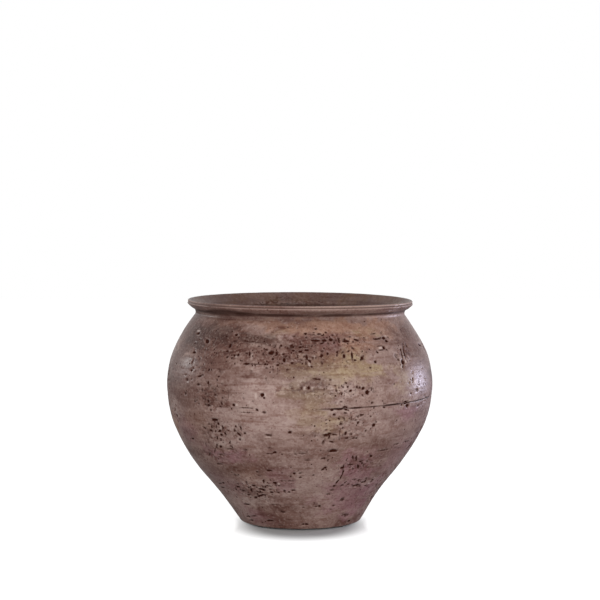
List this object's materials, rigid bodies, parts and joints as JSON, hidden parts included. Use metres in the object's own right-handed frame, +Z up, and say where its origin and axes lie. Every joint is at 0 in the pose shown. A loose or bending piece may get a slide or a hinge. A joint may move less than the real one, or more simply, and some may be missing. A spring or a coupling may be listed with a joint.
{
  "type": "ceramic vase",
  "caption": "Round-bellied brown ceramic vase with a narrow foot, a short neck and a flared lip with a double bead, built from luted clay sections on felt pads.",
  "frame": {"origin": "on the vase's axis, in the plane of the felt pads' undersides, which is the surface that the vase stands on", "axes": "+Z up along the axis of the vase. The vase is round, and -Y faces the camera of the picture"},
  "size_m": [0.305, 0.305, 0.2555],
  "materials": {
    "fired_finish": "satin, mottled brown with small pits",
    "inner_finish": "satin, darker brown",
    "bare_clay": "matte, unglazed",
    "felt": "matte felt"
  },
  "bodies": {
    "root": {"floor_slab": "bare_clay", "lower_wall": "fired_finish", "upper_wall": "fired_finish", "rim": "fired_finish", "belly_coil": "inner_finish", "floor_coil": "inner_finish", "foot_pads": "felt"}
  },
  "joints": []
}
